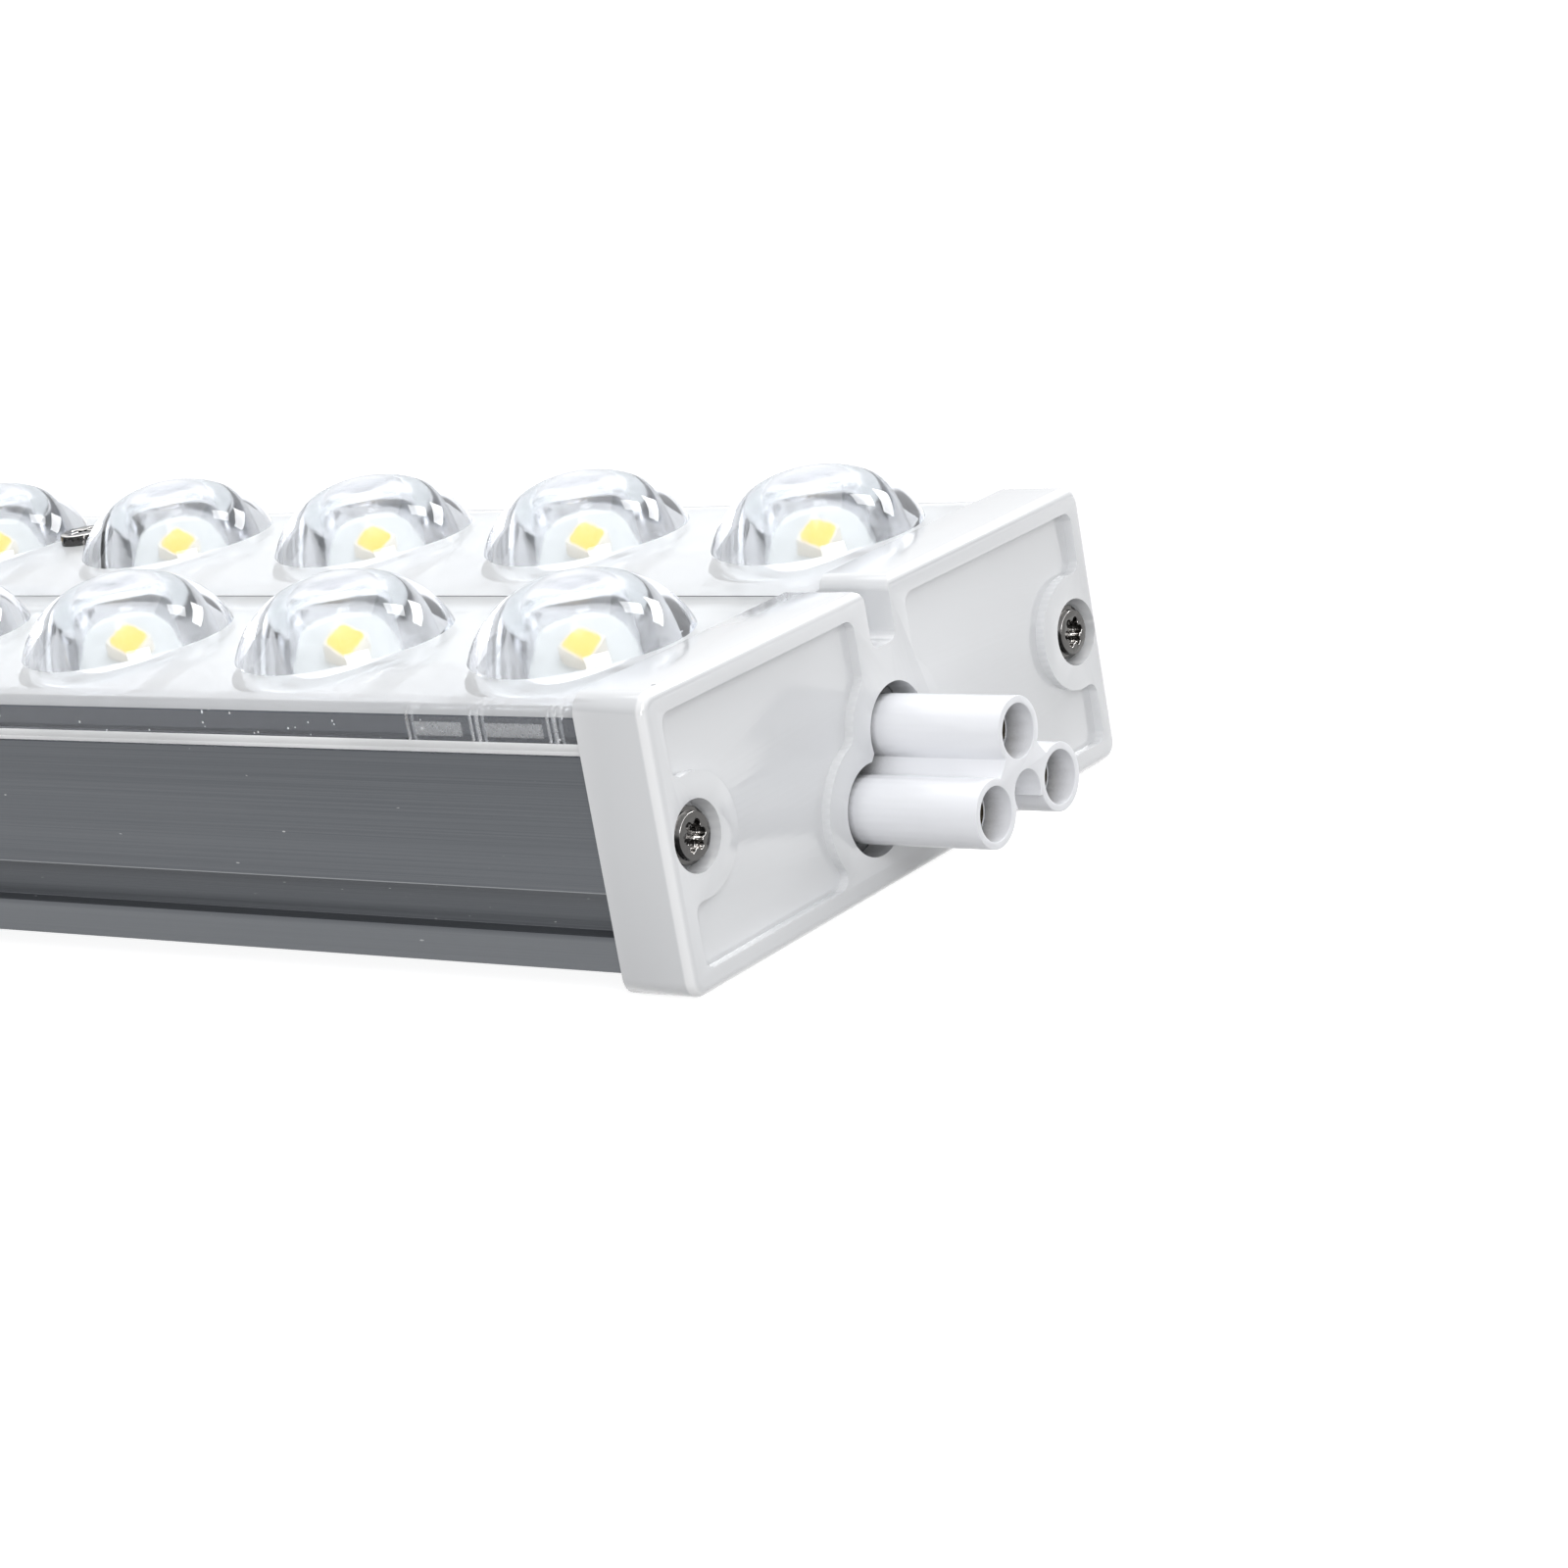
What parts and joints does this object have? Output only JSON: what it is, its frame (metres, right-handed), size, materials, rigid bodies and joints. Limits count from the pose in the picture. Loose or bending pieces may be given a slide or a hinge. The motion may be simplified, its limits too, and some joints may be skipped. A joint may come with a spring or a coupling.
{
  "type": "linkable led light bar",
  "caption": "Slim aluminium light bar with two rows of clear dome lenses, moulded end caps, plug-through connectors and sliding mounting clips.",
  "frame": {"origin": "middle of the underside, on the plane that the end caps rest on", "axes": "+X towards the socket nose, +Y across to the far lens row, +Z the light-emitting side"},
  "size_m": [0.32, 0.0612, 0.0291],
  "materials": {
    "anodised_aluminium": "mill-finish extrusion with fine lengthwise drawing lines",
    "cap_plastic": "satin-gloss light grey-white moulding",
    "clear_lens": "clear moulded acrylic",
    "white_board": "white solder mask on aluminium-core board",
    "led_package": "white reflector housing",
    "phosphor": "yellow phosphor in clear resin",
    "thermal_pad": "soft grey silicone",
    "socket_plastic": "glossy cool-white moulding",
    "contact_brass": "plain brass",
    "plated_pin": "nickel plated",
    "nickel_screw": "bright nickel plated",
    "driver_laminate": "green solder mask on fibre laminate",
    "transformer_tape": "yellow polyester tape",
    "capacitor_sleeve": "dark shrink sleeve",
    "choke_copper": "enamelled copper winding",
    "black_epoxy": "moulded epoxy",
    "fuse_metal": "plated end caps",
    "terminal_plastic": "moulded polyamide",
    "insulator_film": "thin insulating film",
    "live_insulation": "brown insulation",
    "neutral_insulation": "blue insulation",
    "earth_insulation": "green-yellow insulation",
    "red_insulation": "red insulation",
    "black_insulation": "black insulation",
    "spring_steel": "bright rolled spring steel"
  },
  "bodies": {
    "light_bar": {"body_extrusion": "anodised_aluminium", "end_cap_outlet": "cap_plastic", "end_cap_inlet": "cap_plastic", "lens_strip_near": "clear_lens", "lens_strip_far": "clear_lens", "led_board_near": "white_board", "led_board_far": "white_board", "led_packages_near": "led_package", "led_packages_far": "led_package", "led_phosphors_near": "phosphor", "led_phosphors_far": "phosphor", "thermal_pad_near": "thermal_pad", "thermal_pad_far": "thermal_pad", "lens_fixing_screws": "nickel_screw", "board_link": "white_board", "outlet_connector_body": "socket_plastic", "outlet_contacts": "contact_brass", "inlet_connector_body": "socket_plastic", "inlet_pins": "plated_pin", "end_screws_outlet": "nickel_screw", "end_screws_inlet": "nickel_screw", "driver_board": "driver_laminate", "driver_transformer": "transformer_tape", "driver_capacitors": "capacitor_sleeve", "driver_choke": "choke_copper", "driver_rectifier": "black_epoxy", "driver_fuse": "fuse_metal", "driver_switch_chip": "black_epoxy", "driver_terminals": "terminal_plastic", "insulator_sheet": "insulator_film", "live_wire": "live_insulation", "neutral_wire": "neutral_insulation", "earth_wire": "earth_insulation", "led_lead_positive": "red_insulation", "led_lead_negative": "black_insulation", "earth_terminal_ring": "nickel_screw", "earth_screw": "nickel_screw"},
    "clip_a": {"mounting_clip_a": "spring_steel"},
    "clip_b": {"mounting_clip_b": "spring_steel"}
  },
  "joints": [
    {"name": "clip_a_slide", "type": "slide", "parent": "light_bar", "child": "clip_a", "axis": [1, 0, 0], "range_m": [-0.045, 0.13]},
    {"name": "clip_b_slide", "type": "slide", "parent": "light_bar", "child": "clip_b", "axis": [1, 0, 0], "range_m": [-0.03, 0.045]}
  ]
}
